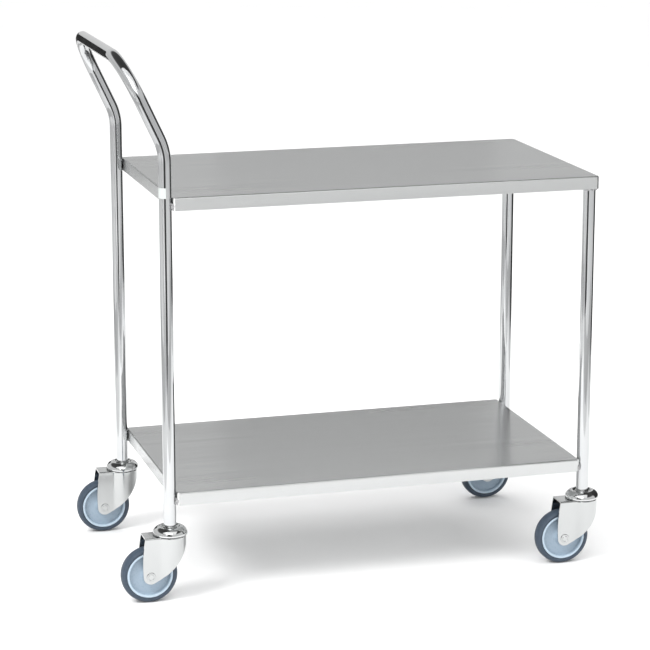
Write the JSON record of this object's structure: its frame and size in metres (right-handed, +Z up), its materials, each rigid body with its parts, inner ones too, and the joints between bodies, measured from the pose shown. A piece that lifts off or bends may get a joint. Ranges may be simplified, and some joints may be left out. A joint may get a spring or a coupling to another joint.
{
  "type": "bar cart on wheels",
  "caption": "Two-tier serving cart: folded stainless shelves in a bent chrome tube frame with a raised push handle at one end, on swivelling rubber-tyred casters.",
  "frame": {"origin": "middle of the footprint, at floor level", "axes": "+X along the length, away from the push handle; +Y across the width; +Z up"},
  "size_m": [0.8896, 0.475, 0.9609],
  "materials": {
    "chrome_tube": "polished chrome plating on bent steel tube",
    "brushed_sheet": "folded stainless sheet, brushed along the length",
    "pressed_steel": "bright plated pressed steel",
    "weld": "lightly polished weld bead",
    "rim_plastic": "light blue-grey moulded plastic",
    "tyre_rubber": "dark blue-grey rubber",
    "label": "blank white label"
  },
  "bodies": {
    "frame": {"handle_frame": "chrome_tube", "front_right_post": "chrome_tube", "rear_right_post": "chrome_tube", "top_shelf": "brushed_sheet", "bottom_shelf": "brushed_sheet", "bottom_weld_front_left": "weld", "bottom_weld_front_right": "weld", "bottom_weld_rear_left": "weld", "bottom_weld_rear_right": "weld", "top_weld_front_left": "weld", "top_weld_front_right": "weld", "top_weld_rear_left": "weld", "top_weld_rear_right": "weld", "blank_label": "label", "caster_front_left_stem": "pressed_steel", "caster_front_left_head": "pressed_steel", "caster_front_right_stem": "pressed_steel", "caster_front_right_head": "pressed_steel", "caster_rear_left_stem": "pressed_steel", "caster_rear_left_head": "pressed_steel", "caster_rear_right_stem": "pressed_steel", "caster_rear_right_head": "pressed_steel"},
    "caster_front_left_swivel": {"caster_front_left_fork": "pressed_steel", "caster_front_left_axle_bolt": "pressed_steel", "caster_front_left_axle_nut": "pressed_steel", "caster_front_left_axle_sleeve": "pressed_steel"},
    "caster_front_left_wheel": {"caster_front_left_rim": "rim_plastic", "caster_front_left_tyre": "tyre_rubber"},
    "caster_front_right_swivel": {"caster_front_right_fork": "pressed_steel", "caster_front_right_axle_bolt": "pressed_steel", "caster_front_right_axle_nut": "pressed_steel", "caster_front_right_axle_sleeve": "pressed_steel"},
    "caster_front_right_wheel": {"caster_front_right_rim": "rim_plastic", "caster_front_right_tyre": "tyre_rubber"},
    "caster_rear_left_swivel": {"caster_rear_left_fork": "pressed_steel", "caster_rear_left_axle_bolt": "pressed_steel", "caster_rear_left_axle_nut": "pressed_steel", "caster_rear_left_axle_sleeve": "pressed_steel"},
    "caster_rear_left_wheel": {"caster_rear_left_rim": "rim_plastic", "caster_rear_left_tyre": "tyre_rubber"},
    "caster_rear_right_swivel": {"caster_rear_right_fork": "pressed_steel", "caster_rear_right_axle_bolt": "pressed_steel", "caster_rear_right_axle_nut": "pressed_steel", "caster_rear_right_axle_sleeve": "pressed_steel"},
    "caster_rear_right_wheel": {"caster_rear_right_rim": "rim_plastic", "caster_rear_right_tyre": "tyre_rubber"}
  },
  "joints": [
    {"name": "front_left_swivel", "type": "hinge", "parent": "frame", "child": "caster_front_left_swivel", "pos_m": [-0.35575, -0.207, 0.12], "axis": [0, 0, 1], "continuous": true},
    {"name": "front_left_roll", "type": "hinge", "parent": "caster_front_left_swivel", "child": "caster_front_left_wheel", "pos_m": [-0.39475, -0.207, 0.05], "axis": [0, 1, 0], "continuous": true},
    {"name": "front_right_swivel", "type": "hinge", "parent": "frame", "child": "caster_front_right_swivel", "pos_m": [0.41425, -0.207, 0.12], "axis": [0, 0, 1], "continuous": true},
    {"name": "front_right_roll", "type": "hinge", "parent": "caster_front_right_swivel", "child": "caster_front_right_wheel", "pos_m": [0.37525, -0.207, 0.05], "axis": [0, 1, 0], "continuous": true},
    {"name": "rear_left_swivel", "type": "hinge", "parent": "frame", "child": "caster_rear_left_swivel", "pos_m": [-0.35575, 0.207, 0.12], "axis": [0, 0, 1], "continuous": true},
    {"name": "rear_left_roll", "type": "hinge", "parent": "caster_rear_left_swivel", "child": "caster_rear_left_wheel", "pos_m": [-0.39475, 0.207, 0.05], "axis": [0, 1, 0], "continuous": true},
    {"name": "rear_right_swivel", "type": "hinge", "parent": "frame", "child": "caster_rear_right_swivel", "pos_m": [0.41425, 0.207, 0.12], "axis": [0, 0, 1], "continuous": true},
    {"name": "rear_right_roll", "type": "hinge", "parent": "caster_rear_right_swivel", "child": "caster_rear_right_wheel", "pos_m": [0.37525, 0.207, 0.05], "axis": [0, 1, 0], "continuous": true}
  ]
}
